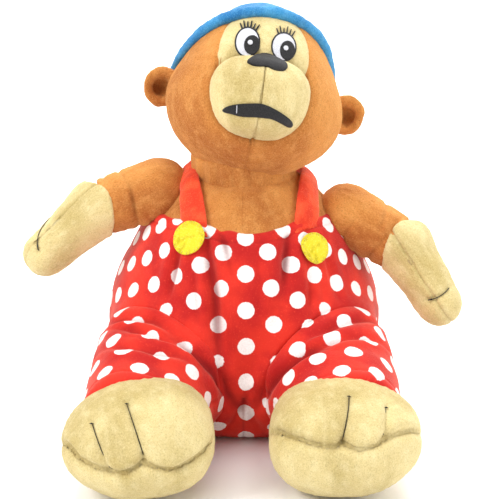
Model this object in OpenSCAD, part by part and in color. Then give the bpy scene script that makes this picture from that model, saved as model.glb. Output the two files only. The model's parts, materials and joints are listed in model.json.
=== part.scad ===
// Sitting plush monkey in dotted dungarees, with a cap pushed to the back of its head.
// Millimetres, +Z up. The toy faces -Y and its own left side is +X.
// The origin is the middle of the flat seat that it sits on.

/* [Body] */
// Largest diameter of the stuffed belly
belly_d = 186; // [183:1:188]
// Height of the neck seam above the seat
neck_z = 168; // [167:1:170]
// Diameter of the flat seat
seat_d = 150; // [144:1:154]
// Thickness of one layer of fabric, pile included
fabric_t = 2; // [1.6:0.1:2.2]
// Width of a shoulder strap
strap_w = 15; // [13:0.5:16]
// Diameter of a felt button
button_d = 22; // [20:0.5:23]

/* [Head] */
// Diameter of the stuffed head
head_d = 118; // [116:1:120]
// How far the head is tipped back
head_back = 16; // [14:1:18]
// How far the head leans towards its own left
head_lean = 9; // [7:1:10]
// How far the head is turned towards its own left
head_turn = 1; // [0:1:4]
// Diameter of the ball that the muzzle is part of
muzzle_d = 68; // [66:1:70]
// Diameter of an ear
ear_d = 27; // [25:0.5:28]
// Thickness of the rolled edge of the cap
cap_roll_d = 8; // [7.5:0.1:8.5]

/* [Limbs] */
// Diameter of a sleeve at the shoulder
sleeve_d = 42; // [40:0.5:43]
// Distance from the shoulder to the wrist
arm_len = 45; // [44:0.5:46]
// Diameter of a hand at the wrist
hand_d = 37; // [36:0.5:37.5]
// Distance from the wrist to the tip of the hand
hand_len = 63; // [60:0.5:65]
// Diameter of a trouser leg
leg_d = 75; // [72:1:76]
// Width of a foot across the toes
foot_w = 96; // [92:1:98]
// Height of a foot
foot_h = 75; // [73:1:75.5]

/* [Hidden] */
side_names = ["strap", "button", "button_stitches", "eye_white", "pupil", "ear", "arm_stuffing", "sleeve",
    "hand_stuffing", "hand_back_panel", "hand_palm_panel", "finger_stitches", "leg_stuffing",
    "trouser_leg", "foot_stuffing", "foot_upper", "foot_sole", "toe_stitches"];
$fn = 64;

LEFT = 1;
RIGHT = -1;
gap = 0.5;                        // room between two bodies that move on each other
big = 400;                        // larger than the toy

brown = "peru";
beige = "khaki";
red = "orangered";
fill_white = "whitesmoke";
thread_dark = [0.12, 0.12, 0.12];

belly_r = belly_d / 2;
head_r = head_d / 2;
muzzle_r = muzzle_d / 2;
foot_r = foot_h / 2;
neck_r = 41;                      // radius of the neck seam
neck_ball_r = 33;
neck_at = [0, 0, neck_z];
neck_slope = 16;                  // the head clears the shoulders by this angle all round
head_at = [8, 5, neck_z + 54];

shoulder_at = [[72, -6, 138], [-59, -5, 156.5]];          // left, right
arm_way = [[0.871, -0.261, -0.414], [-0.954, -0.156, -0.256]];
hand_way = [[0.502, -0.493, -0.711], [-0.738, -0.340, -0.583]];
wrist_setback = 12.5;             // a sleeve ends this far before the wrist's centre
hip_at = [56, -69, 45];
hip_ball_r = 43.5;
foot_at = [[64.5, -146, 38.2], [-66, -150, 38.8]];          // left, right
foot_roll = [0, -7];
ankle_setback = 16;
shoulder_ball_r = sleeve_d / 2;
wrist_ball_r = hand_d / 2;

function side(s) = s == LEFT ? 0 : 1;
function shoulder(s) = shoulder_at[side(s)];
function wrist(s) = shoulder(s) + arm_len * unit(arm_way[side(s)]);
function hip(s) = [s * hip_at.x, hip_at.y, hip_at.z];
function foot(s) = foot_at[side(s)];
function unit(v) = v / norm(v);
function mix(a, b, t) = a + (b - a) * t;

// The torso's outline, radius and height, is two Bezier curves: seat to belly, and belly to neck.
belly_z = 48;
lower_curve = [[seat_d / 2, 0], [belly_r - 6, 3], [belly_r, 24], [belly_r, belly_z]];
upper_curve = [[belly_r, belly_z], [belly_r, 84], [79, 134], [neck_r, neck_z - 1]];
function bezier(p, t) = p[0] * pow(1 - t, 3) + p[1] * 3 * t * pow(1 - t, 2) + p[2] * 3 * t * t * (1 - t)
    + p[3] * pow(t, 3);
function bezier_slope(p, t) = 3 * ((p[1] - p[0]) * pow(1 - t, 2) + (p[2] - p[1]) * 2 * t * (1 - t)
    + (p[3] - p[2]) * t * t);
// A place on the outline: s runs from 0 at the seat to 1 at the belly and 2 at the neck.
function curve_of(s) = s < 1 ? lower_curve : upper_curve;
function outline_at(s) = bezier(curve_of(s), s < 1 ? s : s - 1);
function outline_normal(s) = let (d = unit(bezier_slope(curve_of(s), s < 1 ? s : s - 1))) [d.y, -d.x];
// Every layer has its corners at the same places, so that the layers lie against each other.
place_step = 0.05;
function outline(depth, s0, s1) = [for (i = [round(s0 / place_step) : round(s1 / place_step)])
    let (s = i * place_step) outline_at(s) - depth * outline_normal(s)];
function below(points, z) = [for (p = points) [p.x, min(p.y, z)]];
function reversed(list) = [for (i = [len(list) - 1 : -1 : 0]) list[i]];
// The place s on the upper curve where the torso has radius r.
function place_of_radius(r, low = 1, high = 2, n = 16) = let (m = (low + high) / 2) n == 0 ? m
    : outline_at(m).x > r ? place_of_radius(r, m, high, n - 1) : place_of_radius(r, low, m, n - 1);

tuck_s = 1.5;                    // the chest panels start here, under the dungarees
bib_top_s = 1.8;
back_top_s = 1.75;

module oriented(way) {
    rotate([0, acos(way.z / norm(way)), atan2(way.y, way.x)]) children();
}

// ---------- torso ----------

// One layer of the torso's skin, from depth a to depth b under the outline, over part of a turn.
module torso_layer(a, b, s0, s1, start, turn) {
    rotate([0, 0, start]) rotate_extrude(angle = turn)
        polygon(concat(outline(a, s0, s1), reversed(outline(b, s0, s1))));
}

// The room that the arms, the legs and the neck move in. An arm hangs lowest at lowest_arm degrees.
lowest_arm = [0, -8];
module arm_room(s, lowered) {
    translate(shoulder(s)) rotate([0, lowered, 0]) oriented(arm_way[side(s)]) rotate_extrude() {
        intersection() {
            circle(shoulder_ball_r + gap);
            translate([0, -big / 2]) square(big);
        }
        polygon([[0, 0], [shoulder_ball_r + gap, 0], [sleeve_end_d / 2 + gap, arm_len], [0, arm_len]]);
    }
}
module limb_room() {
    for (s = [LEFT, RIGHT]) {
        arm_room(s, 0);
        if (lowest_arm[side(s)] != 0) arm_room(s, lowest_arm[side(s)]);
        translate(hip(s)) sphere(hip_ball_r + gap);
    }
    translate(neck_at) sphere(neck_ball_r + gap);
}

top_z = outline_at(2).y - fabric_t;
module torso_stuffing() color(fill_white) difference() {
    rotate_extrude() polygon(concat([[0, fabric_t]],
        [for (p = outline(fabric_t, 0, tuck_s)) [p.x, max(p.y, fabric_t)]],
        below(outline(2 * fabric_t, tuck_s, 2), top_z - fabric_t),
        [[0, top_z - fabric_t]]));
    limb_room();
}

module seat_panel() color(red) difference() {
    cylinder(r = seat_d / 2 - fabric_t, h = fabric_t);
    limb_room();
}

module chest_panel(start, turn) color(brown) difference() {
    rotate([0, 0, start]) rotate_extrude(angle = turn) polygon(concat(
        below(outline(fabric_t, tuck_s, 2), top_z),
        [[neck_ball_r - 6, top_z], [neck_ball_r - 6, top_z - fabric_t]],
        reversed(below(outline(2 * fabric_t, tuck_s, 2), top_z - fabric_t))));
    limb_room();
}

module dungarees_half(start, top_s) color(red) difference() {
    torso_layer(0, fabric_t, 0, top_s, start, 180);
    limb_room();
}

// A strap runs over the torso from front to back. Its middle line is where the torso meets a
// plane of constant x that leans outwards at the shoulder.
strap_steps = 16;
strap_front_y = -74;
strap_back_y = 66;
function strap_line(s, i) = let (y = mix(strap_front_y, strap_back_y, i / strap_steps),
    lean = cos(90 * y / strap_back_y), x = s * (s == LEFT ? 43 : 35) + s * 3 * lean,
    z = outline_at(place_of_radius(norm([x, y]))).y) [x, y, z];
function strap_normal(s, i) = let (p = strap_line(s, i), r = norm([p.x, p.y]),
    n = outline_normal(place_of_radius(r))) [n.x * p.x / r, n.x * p.y / r, n.y];
function strap_across(s, i) = unit(cross(strap_line(s, i + 1) - strap_line(s, i - 1), strap_normal(s, i)));
strap_lift = 0.5;
strap_t = 2.4;
function strap_ring(s, i) = let (p = strap_line(s, i), n = strap_normal(s, i),
    w = strap_across(s, i) * strap_w / 2)
    [p + n * strap_lift - w, p + n * strap_lift + w, p + n * (strap_lift + strap_t) + w * 0.94,
     p + n * (strap_lift + strap_t) - w * 0.94];

module ribbon(rings) {
    n = len(rings);
    sides = len(rings[0]);
    polyhedron(
        [for (r = rings) each r],
        concat([[for (j = [0 : sides - 1]) j]],
            [for (i = [0 : n - 2]) for (j = [0 : sides - 1]) let (k = (j + 1) % sides)
                [i * sides + j, (i + 1) * sides + j, (i + 1) * sides + k, i * sides + k]],
            [[for (j = [sides - 1 : -1 : 0]) (n - 1) * sides + j]]));
}

module strap(s) color(red) difference() {
    ribbon([for (i = [1 : strap_steps - 1]) strap_ring(s, i)]);
    limb_room();
}

// A button sits on the lower front end of its strap.
button_i = 2;
button_t = 1.6;
module on_strap(s, lift) {
    translate(strap_line(s, button_i) + strap_normal(s, button_i) * lift)
        oriented(strap_normal(s, button_i)) children();
}

module button(s) color("gold") on_strap(s, strap_lift + strap_t + 0.3) cylinder(d = button_d, h = button_t);

module button_stitches(s) color("goldenrod") on_strap(s, strap_lift + strap_t + 0.3 + button_t)
    for (a = [0 : 60 : 300]) rotate([0, 0, a]) translate([button_d / 2 - 1.6, 0, 0.35])
        rotate([90, 0, 0]) cylinder(d = 0.6, h = 3, center = true);

// ---------- neck ----------

module neck_fabric() color(brown) translate(neck_at) difference() {
    sphere(neck_ball_r);
    sphere(neck_ball_r - fabric_t + 0.2);
    for (m = [0, 1]) mirror([0, 0, m]) translate([0, 0, 18]) cylinder(r = big, h = big);
}

module neck_stuffing() color(fill_white) translate(neck_at) sphere(neck_ball_r - fabric_t);

// ---------- head ----------

module on_head() {
    translate(head_at) rotate([0, head_lean, 0]) rotate([-head_back, 0, 0]) rotate([0, 0, head_turn])
        children();
}

// What the head leaves free for the neck and the shoulders.
module neck_room() translate(neck_at) rotate([0, 0, 250]) rotate_extrude() intersection() {
    union() {
        circle(neck_ball_r + gap);
        polygon([[0, 0.8], [0, -big / 4], [big / 4, -big / 4], [big / 4, 0.8 + big / 4 * tan(neck_slope)]]);
    }
    translate([0, -big]) square(2 * big);
}

module head_cut() difference() {
    on_head() children();
    neck_room();
}

muzzle_at = [0, -41, -4];
mask_r = 32;
mask_tilt = 34;                   // the mask's middle is this far above the face's axis
seam_gap = 0.15;

// The muzzle is turned about the line from the head's centre through its own.
muzzle_out = norm(muzzle_at);
module on_muzzle() oriented(muzzle_at) children();
module muzzle_layer(a, b, turn) rotate([0, 0, 90]) rotate_extrude(angle = turn) intersection() {
    difference() {
        translate([0, muzzle_out]) circle(muzzle_r - a);
        if (b < muzzle_r) translate([0, muzzle_out]) circle(muzzle_r - b);
        circle(head_r - fabric_t + 0.1);
    }
    square(big);
}
// The face's two openings are cylinders through the head's centre.
muzzle_hole_r = muzzle_r + seam_gap;
module muzzle_hole() on_muzzle() cylinder(r = muzzle_hole_r, h = big / 2);
module mask_prism(r) rotate([-mask_tilt, 0, 0]) rotate([90, 0, 0]) cylinder(r = r, h = big);

module skull(r0, r1) difference() {
    sphere(r1);
    sphere(r0);
}

module head_stuffing() color(fill_white) head_cut() sphere(head_r - fabric_t);

// One spherical sector of the head's skin, without the face's openings.
module head_sector(start, turn) color(brown) head_cut() difference() {
    rotate([0, 0, start]) rotate_extrude(angle = turn) intersection() {
        difference() {
            circle(head_r);
            circle(head_r - fabric_t);
        }
        translate([0, -big]) square([big, 2 * big]);
    }
    muzzle_hole();
    mask_prism(mask_r + seam_gap);
}

module eye_mask_panel() color(beige) on_head() difference() {
    intersection() {
        skull(head_r - fabric_t, head_r);
        mask_prism(mask_r);
    }
    muzzle_hole();
}

module muzzle_stuffing() color(fill_white) on_head() on_muzzle() muzzle_layer(fabric_t, big, 360);

module muzzle_panel(s) color(beige) on_head() on_muzzle() rotate([0, 0, s == LEFT ? 0 : 180])
    muzzle_layer(0, fabric_t, 180);

// Embroidery is a thin layer that lies on a ball of fabric, cut to a flat outline seen from the front.
stitch_t = 0.8;
module embroidery(centre, r, shift = 0.1) intersection() {
    translate(centre) difference() {
        sphere(r + shift + stitch_t);
        sphere(r + shift);
    }
    translate([0, centre.y, 0]) rotate([90, 0, 0]) linear_extrude(big / 2) children();
}

nose_w = 27;
nose_z = 20;
module nose() color(thread_dark) on_head() embroidery(muzzle_at, muzzle_r)
    polygon([for (a = [-60 : 15 : 60]) [nose_w / 2 * sin(a) / sin(60), nose_z + 1 + 4.5 * cos(a)],
             for (a = [60 : -15 : -60]) [nose_w / 2 * 0.92 * sin(a) / sin(60), nose_z - 1 - 6 * cos(a)]]);

mouth_w = 48;
mouth_z = -8;
module mouth() color(thread_dark) on_head() embroidery(muzzle_at, muzzle_r)
    polygon([for (t = [-1 : 0.2 : 1]) [mouth_w / 2 * t, mouth_z - 8.5 * t * t],
             for (t = [0.9 : -0.2 : -0.9])
                 [mouth_w / 2 * t, mouth_z - 8.5 + 1.5 * cos(90 * t) - 4 * t * t]]);

eye_gap = 24;
eye_z = 32.5;
eye_w = 16.5;
eye_h = 20;
function oval(w, h, n) = [for (i = [0 : n - 1]) [w / 2 * cos(360 * i / n), h / 2 * sin(360 * i / n)]];
// The eyes are sewn on the mask, which ends at the muzzle.
module eye_layer(s, shift) difference() {
    embroidery([0, 0, 0], head_r, shift) translate([s * eye_gap / 2, eye_z]) children();
    muzzle_hole();
}
module eye_white(s) color("white") on_head() eye_layer(s, 0.1) polygon(oval(eye_w, eye_h, 24));
module eye_outlines() color(thread_dark) on_head() for (s = [LEFT, RIGHT])
    eye_layer(s, 0.1) difference() {
        polygon(oval(eye_w + 1.6, eye_h + 1.6, 24));
        polygon(oval(eye_w + 0.1, eye_h + 0.1, 24));
    }
pupil_w = 10.5;
pupil_h = 13.5;
pupil_shift = [2.2, -1.8];
module pupil(s) color(thread_dark) on_head() eye_layer(s, stitch_t + 0.2)
    translate(pupil_shift) polygon(oval(pupil_w, pupil_h, 20));
module eye_highlights() color("white") on_head() for (s = [LEFT, RIGHT])
    eye_layer(s, 2 * stitch_t + 0.3) translate(pupil_shift + [-0.5, 1.5]) circle(d = 3.4);
lash_n = 6;
module eyelashes() color(thread_dark) on_head() for (s = [LEFT, RIGHT])
    eye_layer(s, 0.1) for (i = [0 : lash_n - 1])
        rotate(mix(32, -32, i / (lash_n - 1))) translate([-0.4, eye_h / 2 + 1.4]) square([0.8, 5]);

// An ear is a flat pad, rounded where it hinges on the side of the head.
ear_t = 7;
ear_root = [head_r + ear_t / 2 + 1.2, 3, -4.5];
module ear(s) color(brown) on_head() translate([s * ear_root.x, ear_root.y, ear_root.z]) {
    intersection() {
        translate([s * -2.5, ear_t / 2, 0]) rotate([90, 0, 0]) cylinder(d = ear_d, h = ear_t);
        translate([s == LEFT ? 0 : -big, -big / 2, -big / 2]) cube(big);
    }
    cylinder(d = ear_t, h = ear_d - 3, center = true);
}

// The cap covers the back of the head behind a leaning plane.
cap_tilt = 49;                    // the cap's axis is this far above straight back
cap_lean = -6;                    // and it leans this far sideways
cap_plane = 26;                   // distance of the rim's plane from the head's centre
cap_lift = 0.3;
module on_cap() rotate([0, cap_lean, 0]) rotate([-(90 - cap_tilt), 0, 0]) children();
function arc(r, a0, a1, n) = [for (i = [0 : n]) r * [cos(mix(a0, a1, i / n)), sin(mix(a0, a1, i / n))]];
module cap_crown() color("cornflowerblue") on_head() on_cap() rotate_extrude() intersection() {
    difference() {
        circle(head_r + cap_lift + fabric_t);
        circle(head_r + cap_lift);
    }
    translate([0, cap_plane]) square(big);
}
module cap_rolled_edge() color("steelblue") head_cut() on_cap() difference() {
    translate([0, 0, cap_plane - cap_roll_d / 2]) rotate_extrude()
        translate([sqrt(pow(head_r, 2) - pow(cap_plane, 2)) + cap_roll_d / 2 + 0.2, 0])
            circle(d = cap_roll_d);
    sphere(head_r + cap_lift);
    rotate_extrude() intersection() {
        circle(head_r + cap_lift + fabric_t + 0.2);
        translate([0, cap_plane - 0.2]) square(big);
    }
}

// ---------- arms ----------

module on_arm(s) translate(shoulder(s)) oriented(arm_way[side(s)]) children();
module on_hand(s) translate(wrist(s)) oriented(hand_way[side(s)]) children();
module wrist_room(s) translate(wrist(s)) sphere(wrist_ball_r + gap);

// A sleeve or its stuffing: a ball at the shoulder that runs into a slim cone.
module limb_solid(r_ball, r_end, len) {
    sphere(r_ball);
    cylinder(r1 = r_ball, r2 = r_end, h = len);
}

sleeve_end_d = 37;
sleeve_back = -8;                 // a sleeve starts this far behind the shoulder's centre
module arm_stuffing(s) color(fill_white) difference() {
    on_arm(s) limb_solid(shoulder_ball_r - fabric_t, sleeve_end_d / 2 - fabric_t, arm_len - wrist_setback);
    wrist_room(s);
}
module sleeve(s) color(brown) difference() {
    on_arm(s) intersection() {
        difference() {
            limb_solid(shoulder_ball_r, sleeve_end_d / 2, arm_len - wrist_setback);
            limb_solid(shoulder_ball_r - fabric_t, sleeve_end_d / 2 - fabric_t, arm_len);
        }
        translate([0, 0, sleeve_back]) cylinder(r = big / 4, h = big / 4);
    }
    wrist_room(s);
}

hand_tip_r = 16;
// Outline of a hand: a ball at the wrist, a slim cone and a rounded tip.
function hand_outline(skin) = concat(
    arc(wrist_ball_r - skin, -90, 0, 6),
    [for (p = arc(hand_tip_r - skin, 10, 90, 6)) p + [0, hand_len - hand_tip_r]]);
module hand_half(start) rotate([0, 0, start]) rotate_extrude(angle = 180)
    polygon(concat(hand_outline(0), reversed(hand_outline(fabric_t))));
module hand_stuffing(s) color(fill_white) on_hand(s) rotate_extrude() polygon(hand_outline(fabric_t));
module hand_back_panel(s) color(beige) on_hand(s) hand_half(90);
module hand_palm_panel(s) color(beige) on_hand(s) hand_half(-90);
finger_z = 40;
module finger_stitches(s) color(thread_dark) on_hand(s) translate([0, 0, finger_z])
    rotate([0, 0, 20]) rotate_extrude(angle = 140)
        translate([hand_tip_r + 1.7, 0]) circle(d = 0.8);

// ---------- legs ----------

function leg_way(s) = foot(s) - hip(s);
module on_leg(s) translate(hip(s)) oriented(leg_way(s)) children();
module foot_room(s) on_foot(s) rotate([0, 90, 0]) cylinder(r = foot_r + gap, h = big / 2, center = true);
module leg_solid(skin) {
    sphere(hip_ball_r - skin);
    cylinder(r = leg_d / 2 - skin, h = norm(leg_way(LEFT)) - ankle_setback);
}
module leg_cut(s) difference() {
    children();
    foot_room(s);
    translate([-big / 2, -big / 2, -big + 0.3]) cube(big);
}
module leg_stuffing(s) color(fill_white) leg_cut(s) on_leg(s) leg_solid(fabric_t);
leg_cover_back = -12;             // a trouser leg starts this far behind the hip's centre
module trouser_leg(s) color(red) leg_cut(s) on_leg(s) intersection() {
    difference() {
        leg_solid(0);
        sphere(hip_ball_r - fabric_t);
        cylinder(r = leg_d / 2 - fabric_t, h = big / 2);
    }
    translate([0, 0, leg_cover_back]) cylinder(r = big / 4, h = big / 4);
}

// A foot is turned about its own width: fuller in the middle and round at both sides.
module on_foot(s) translate(foot(s)) rotate([0, foot_roll[side(s)], 0]) children();
function foot_radius(x) = foot_r * pow(1 - pow(abs(x) / (foot_w / 2), 2.5), 1 / 2.5);
foot_steps = 10;
function foot_outline(skin) = [for (i = [-foot_steps : foot_steps]) let (a = 90 * i / foot_steps,
    x = foot_w / 2 * sin(a), k = 1 - skin / foot_r) [foot_radius(x) * k, x * (1 - skin / (foot_w / 2))]];
// Angles run from straight down, through the back at 90 and the top at 180, to the front at 270.
module foot_part(start, turn) rotate([0, 90, 0]) rotate([0, 0, start]) rotate_extrude(angle = turn)
    polygon(concat(foot_outline(0), reversed(foot_outline(fabric_t))));
crease = 280;
module foot_stuffing(s) color(fill_white) on_foot(s) rotate([0, 90, 0]) rotate_extrude()
    polygon(foot_outline(fabric_t));
module foot_upper(s) color(beige) on_foot(s) foot_part(120, crease - 120);
module foot_sole(s) color(beige) on_foot(s) foot_part(crease, 140);
module toe_stitches(s) color(thread_dark) on_foot(s) for (x = [2, 29]) rotate([0, 90, 0])
    translate([0, 0, s * (x - 2)]) rotate([0, 0, 188]) rotate_extrude(angle = 82)
        translate([foot_radius(x - 2) + 0.6, 0]) circle(d = 0.9);

// ---------- what is drawn ----------

module one_sided(s, name) {
    if (name == "strap") strap(s);
    if (name == "button") button(s);
    if (name == "button_stitches") button_stitches(s);
    if (name == "eye_white") eye_white(s);
    if (name == "pupil") pupil(s);
    if (name == "ear") ear(s);
    if (name == "arm_stuffing") arm_stuffing(s);
    if (name == "sleeve") sleeve(s);
    if (name == "hand_stuffing") hand_stuffing(s);
    if (name == "hand_back_panel") hand_back_panel(s);
    if (name == "hand_palm_panel") hand_palm_panel(s);
    if (name == "finger_stitches") finger_stitches(s);
    if (name == "leg_stuffing") leg_stuffing(s);
    if (name == "trouser_leg") trouser_leg(s);
    if (name == "foot_stuffing") foot_stuffing(s);
    if (name == "foot_upper") foot_upper(s);
    if (name == "foot_sole") foot_sole(s);
    if (name == "toe_stitches") toe_stitches(s);
}
torso_stuffing();
seat_panel();
chest_panel(-90, 90);  // chest_left_panel
chest_panel(180, 90);  // chest_right_panel
chest_panel(0, 180);  // back_panel
dungarees_half(180, bib_top_s);  // dungarees_front
dungarees_half(0, back_top_s);  // dungarees_back
neck_fabric();
neck_stuffing();
head_stuffing();
head_sector(-90, 120);  // head_left_panel
head_sector(150, 120);  // head_right_panel
head_sector(30, 120);  // head_back_panel
eye_mask_panel();
muzzle_stuffing();
muzzle_panel(LEFT);  // muzzle_left_panel
muzzle_panel(RIGHT);  // muzzle_right_panel
nose();
mouth();
eye_outlines();
eye_highlights();
eyelashes();
cap_crown();
cap_rolled_edge();
for (name = side_names) {
    one_sided(LEFT, name);
    one_sided(RIGHT, name);
}
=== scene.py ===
"""Looks of the sitting plush monkey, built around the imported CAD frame."""

import json
import math

import bpy
import numpy as np
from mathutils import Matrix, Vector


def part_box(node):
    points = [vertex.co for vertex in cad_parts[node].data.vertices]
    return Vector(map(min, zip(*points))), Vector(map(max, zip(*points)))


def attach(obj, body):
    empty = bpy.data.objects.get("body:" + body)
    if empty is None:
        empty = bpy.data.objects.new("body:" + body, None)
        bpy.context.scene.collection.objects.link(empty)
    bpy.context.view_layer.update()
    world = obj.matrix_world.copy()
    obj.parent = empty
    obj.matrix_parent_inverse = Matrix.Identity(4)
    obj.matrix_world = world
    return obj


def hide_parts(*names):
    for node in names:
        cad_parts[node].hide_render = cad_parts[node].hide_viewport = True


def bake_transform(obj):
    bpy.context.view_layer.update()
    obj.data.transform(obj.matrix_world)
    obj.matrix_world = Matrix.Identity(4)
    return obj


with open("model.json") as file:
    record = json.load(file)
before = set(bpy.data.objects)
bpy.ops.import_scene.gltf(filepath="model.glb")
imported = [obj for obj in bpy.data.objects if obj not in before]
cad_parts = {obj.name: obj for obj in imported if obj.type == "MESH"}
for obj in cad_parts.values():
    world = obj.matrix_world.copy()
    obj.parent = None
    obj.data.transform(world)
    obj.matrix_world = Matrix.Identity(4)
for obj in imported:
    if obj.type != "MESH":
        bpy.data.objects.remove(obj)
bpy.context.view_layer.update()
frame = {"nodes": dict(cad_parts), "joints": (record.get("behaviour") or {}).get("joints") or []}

import openvdb
from mathutils import Vector
from mathutils.kdtree import KDTree

MM = 0.001

# ---------- places, in millimetres, from the frame ----------

SIDES = {"left": 1, "right": -1}
JOINT_AT = {j["name"]: np.array(j["pos_m"]) / MM for j in frame["joints"]}
NECK = JOINT_AT["neck_turn"]
HEAD = NECK + [8, 5, 54]
SHOULDER = {s: JOINT_AT[s + "_shoulder_raise"] for s in SIDES}
WRIST = {s: JOINT_AT[s + "_wrist_bend"] for s in SIDES}
HIP = {s: JOINT_AT[s + "_hip_lift"] for s in SIDES}
FOOT = {s: JOINT_AT[s + "_ankle_bend"] for s in SIDES}
HAND_WAY = {"left": (0.502, -0.493, -0.711), "right": (-0.738, -0.340, -0.583)}
FOOT_ROLL = {"left": 0, "right": -7}
BELLY_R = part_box("dungarees_front")[1].x / MM
HEAD_R = 59
THIGH_R = 43.0
ANKLE_R = 37.5
FOOT_R = 37.5
FOOT_HALF = 48
FLOOR_GAP = 0.6


def rotation(axis, degrees):
    """A turn about the axis named X, Y or Z."""
    c, s = math.cos(math.radians(degrees)), math.sin(math.radians(degrees))
    i = ("XYZ".index(axis) + 1) % 3
    j = (i + 1) % 3
    matrix = np.eye(3)
    matrix[[i, j], [i, j]] = c
    matrix[[j, i], [i, j]] = s, -s
    return matrix


def unit(v):
    v = np.asarray(v, float)
    return v / np.linalg.norm(v, axis=-1, keepdims=True)


def along(way, up=(0, 0, 1)):
    """A turn whose local Z is way and whose local Y is as near to up as it can be."""
    z = unit(way)
    x = unit(np.cross(up, z))
    return np.stack([x, np.cross(z, x), z], 1)


WORLD = (np.eye(3), np.zeros(3))
HEAD_FRAME = (rotation("Y", 9) @ rotation("X", -16) @ rotation("Z", 1), HEAD)
CAP_FRAME = (HEAD_FRAME[0] @ (rotation("Y", -6) @ rotation("X", -41)), HEAD)


# ---------- fields: distances in millimetres, below zero inside ----------

def radius(p):
    """How far each point is from the Z axis."""
    return np.hypot(p[:, 0], p[:, 1])


def bearing(p):
    """Where each point is round the Z axis, in radians from X."""
    return np.arctan2(p[:, 1], p[:, 0])


def join(a, b, k):
    """Either solid, with a fillet of that size between them."""
    h = np.clip(0.5 + 0.5 * (b - a) / k, 0, 1)
    return b * (1 - h) + a * h - k * h * (1 - h)


def meet(a, b, k):
    """Where both solids are, with edges rounded by that size."""
    return -join(-a, -b, k)


def ease(t):
    t = np.clip(t, 0, 1)
    return t * t * (3 - 2 * t)


def bump(d, width):
    """A rounded ridge that is 1 where d is 0."""
    return np.exp(-(d / width) ** 2)


def spot(p, place, size):
    """A rounded spot that is 1 at the place."""
    return bump(np.linalg.norm(p - np.array(place), axis=-1), size)


def cone(p, a, b, ra, rb):
    a, d = np.asarray(a, float), np.asarray(b, float) - a
    t = np.clip((p - a) @ d / (d @ d), 0, 1)
    return np.linalg.norm(p - a - t[:, None] * d, axis=-1) - (ra + (rb - ra) * t)


def squircle(p, centre, radii, power):
    q = np.abs((p - centre) / radii)
    return ((q ** power).sum(-1) ** (1 / power) - 1) * min(radii)


def bezier(corners, count):
    t = np.linspace(0, 1, count)[:, None]
    a, b, c, d = np.array(corners, float)
    return a * (1 - t) ** 3 + 3 * b * t * (1 - t) ** 2 + 3 * c * t * t * (1 - t) + d * t ** 3


def polygon_distance(x, z, outline):
    """Signed distance to a closed outline in a plane."""
    best = np.full(x.shape, 1e9)
    inside = np.zeros(x.shape, bool)
    for (ax, az), (bx, bz) in zip(outline, np.roll(outline, -1, 0)):
        dx, dz = bx - ax, bz - az
        t = np.clip(((x - ax) * dx + (z - az) * dz) / (dx * dx + dz * dz + 1e-12), 0, 1)
        best = np.minimum(best, np.hypot(x - ax - t * dx, z - az - t * dz))
        crosses = (az > z) != (bz > z)
        inside ^= crosses & (x < dx * (z - az) / (dz if dz else 1e-12) + ax)
    return np.where(inside, -best, best)


def rounded(outline):
    """The outline with its corners cut off twice."""
    o = np.array(outline, float)
    for _ in range(2):
        n = np.roll(o, -1, 0)
        o = np.stack([0.75 * o + 0.25 * n, 0.25 * o + 0.75 * n], 1).reshape(-1, 2)
    return o


def path_distance(p, path):
    """Distance to a line through 2-D or 3-D points, and how far along it, from 0 to 1."""
    path = np.array(path, float)
    best, where = np.full(len(p), 1e9), np.zeros(len(p))
    lengths = np.linalg.norm(np.diff(path, axis=0), axis=1)
    run = np.concatenate([[0], np.cumsum(lengths)]) / lengths.sum()
    for i in range(len(path) - 1):
        d = path[i + 1] - path[i]
        t = np.clip((p - path[i]) @ d / (d @ d), 0, 1)
        dist = np.linalg.norm(p - path[i] - t[:, None] * d, axis=-1)
        near = dist < best
        best[near] = dist[near]
        where[near] = (run[i] + (run[i + 1] - run[i]) * t)[near]
    return best, where


def lattice(i, seed):
    """A fixed value between -1 and 1 for each corner of a grid."""
    h = (i[..., 0] * 374761393 + i[..., 1] * 668265263 + i[..., 2] * 1442695041 + seed * 974711) & 0xFFFFFFFF
    h = ((h ^ (h >> 13)) * 1274126177) & 0xFFFFFFFF
    return ((h ^ (h >> 16)) & 0xFFFF) / 32767.5 - 1


def noise(p, size, seed=0):
    """Smooth value noise between -1 and 1, with lumps of that size in millimetres."""
    q = p / size
    i = np.floor(q).astype(np.int64)
    f = q - i
    f = f * f * (3 - 2 * f)
    total = np.zeros(len(p))
    for corner in np.ndindex(2, 2, 2):
        c = np.array(corner)
        total += lattice(i + c, seed) * np.prod(np.where(c, f, 1 - f), -1)
    return total


# ---------- from a field to a piece ----------

def polygonize(field, low, high, step):
    """Corners and four-sided faces of the field's surface, on a grid of that step."""
    low = np.array(low, float)
    count = np.ceil((np.array(high) - low) / step).astype(int) + 1
    axes = [low[i] + step * np.arange(count[i]) for i in range(3)]
    points = np.stack(np.meshgrid(*axes, indexing="ij"), -1).reshape(-1, 3)
    values = np.concatenate([field(part) for part in np.array_split(points, max(1, len(points) // 200000))])
    grid = openvdb.FloatGrid(background=3 * step)
    grid.copyFromArray(values.reshape(count).astype(np.float32))
    corners, quads = grid.convertToQuads(isovalue=0.0)
    return low + step * np.asarray(corners, float), np.asarray(quads, int)


def gradient(field, p, h=0.25):
    here = field(p)
    return here, np.stack([(field(p + h * e) - here) / h for e in np.eye(3)], -1)


def settle(field, p, rounds, most=1.2):
    """Moves points onto the field's surface, and gives their outward normals."""
    for _ in range(rounds):
        here, slope = gradient(field, p)
        move = -(here / np.maximum((slope ** 2).sum(-1), 0.1))[:, None] * slope
        size = np.linalg.norm(move, axis=-1, keepdims=True)
        p = p + move * np.minimum(1, most / np.maximum(size, 1e-9))
    return p, unit(gradient(field, p)[1] + 1e-9)


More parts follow.
